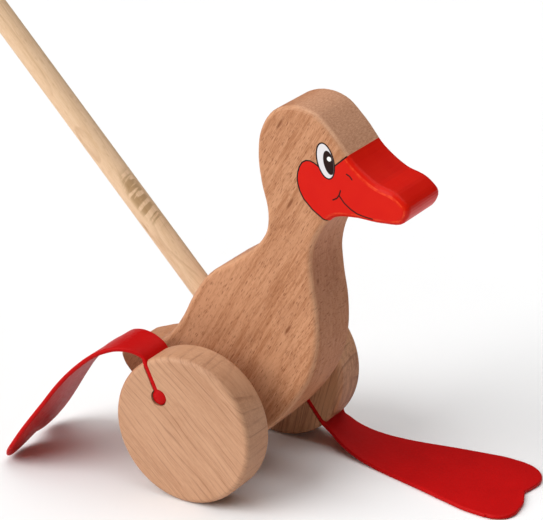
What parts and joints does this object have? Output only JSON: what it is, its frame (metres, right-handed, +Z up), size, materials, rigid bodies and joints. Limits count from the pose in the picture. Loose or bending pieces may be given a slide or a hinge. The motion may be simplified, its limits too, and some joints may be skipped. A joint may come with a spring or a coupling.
{
  "type": "push-along toy",
  "caption": "Wooden waddling duck on wheels with flapping rubber webbed feet, pushed along by a slanting stick with a round knob.",
  "frame": {"origin": "on the floor, straight below the middle of the axle", "axes": "+X the way the duck faces, +Y its left, +Z up"},
  "size_m": [0.4913, 0.131, 0.434],
  "materials": {
    "beech": "satin",
    "birch": "satin",
    "red_rubber": "matte"
  },
  "bodies": {
    "duck": {"body": "beech", "push_stick": "birch", "handle_knob": "beech"},
    "wheelset": {"axle": "birch", "wheel_right": "beech", "wheel_left": "beech", "spacer_right": "birch", "spacer_left": "birch", "foot_right_root": "red_rubber", "foot_left_root": "red_rubber"},
    "foot_right": {"foot_right_flap": "red_rubber"},
    "foot_left": {"foot_left_flap": "red_rubber"}
  },
  "joints": [
    {"name": "axle_spin", "type": "hinge", "parent": "duck", "child": "wheelset", "pos_m": [0, 0, 0.035], "axis": [0, 1, 0], "continuous": true},
    {"name": "foot_right_flex", "type": "hinge", "parent": "wheelset", "child": "foot_right", "pos_m": [-0.01981, -0.0405, 0.06558], "axis": [0, 1, 0], "range_deg": [-35, 35], "stiffness_Nm_per_rad": 0.03, "springref_deg": 8.02},
    {"name": "foot_left_flex", "type": "hinge", "parent": "wheelset", "child": "foot_left", "pos_m": [0.02649, 0.0405, 0.00998], "axis": [0, 1, 0], "range_deg": [-35, 35], "stiffness_Nm_per_rad": 0.03}
  ]
}
